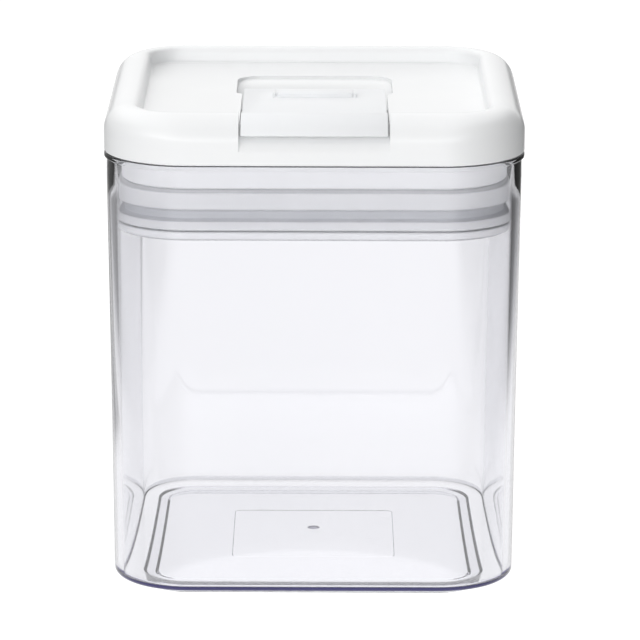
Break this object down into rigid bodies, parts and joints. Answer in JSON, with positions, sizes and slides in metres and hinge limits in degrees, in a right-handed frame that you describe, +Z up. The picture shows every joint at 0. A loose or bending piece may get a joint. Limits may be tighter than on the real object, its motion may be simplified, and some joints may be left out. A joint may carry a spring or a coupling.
{
  "type": "flip-lever food canister",
  "caption": "Clear rounded-square food canister with a white lid whose flip lever slackens a ring gasket to release an airtight plug.",
  "frame": {"origin": "middle of the foot's underside, under the middle of the body", "axes": "+Z up, the lever's lip at -Y, hinge axis along X"},
  "size_m": [0.125, 0.125, 0.1483],
  "materials": {
    "clear_body": "clear, polished",
    "white_shell": "satin gloss",
    "white_frame": "satin",
    "screws": "zinc plated",
    "white_lever": "satin gloss",
    "pin": "ground",
    "clips": "spring steel",
    "bushes": "matte",
    "yoke": "satin",
    "stems": "ground",
    "nuts": "zinc plated",
    "guide_bushes": "matte",
    "orings": "matte",
    "springs": "drawn wire",
    "white_plate": "satin",
    "stem_screws": "zinc plated",
    "washers": "matte",
    "white_cap": "satin",
    "silicone": "soft translucent matte",
    "leaf": "spring steel",
    "leaf_screw": "zinc plated"
  },
  "bodies": {
    "body": {"canister": "clear_body"},
    "lid": {"lid_cover": "white_shell", "lid_frame": "white_frame", "frame_screws": "screws", "lever_pin": "pin", "pin_clips": "clips", "stem_bushes": "guide_bushes", "stem_orings": "orings", "return_springs": "springs", "gasket": "silicone", "detent_spring": "leaf", "detent_screw": "leaf_screw"},
    "lever": {"flip_lever": "white_lever", "lever_bushes": "bushes"},
    "plate": {"cam_yoke": "yoke", "pull_stems": "stems", "stem_nuts": "nuts", "seal_plate": "white_plate", "stem_screws": "stem_screws", "stem_washers": "washers", "plate_cap": "white_cap"}
  },
  "joints": [
    {"name": "lid_lift", "type": "slide", "parent": "body", "child": "lid", "axis": [0, 0, 1], "range_m": [0, 0.08]},
    {"name": "lever_flip", "type": "hinge", "parent": "lid", "child": "lever", "pos_m": [0, -0.0068, 0.136], "axis": [-1, 0, 0], "range_deg": [0, 90]},
    {"name": "plate_drop", "type": "slide", "parent": "lid", "child": "plate", "axis": [0, 0, -1], "range_m": [0, 0.003], "stiffness_N_per_m": 400, "springref_m": -0.003, "deforming": ["gasket", "return_springs"]}
  ],
  "couplings": [
    {"joint": "lever_flip", "follows": "plate_drop", "rad_per_m": 523.6}
  ]
}
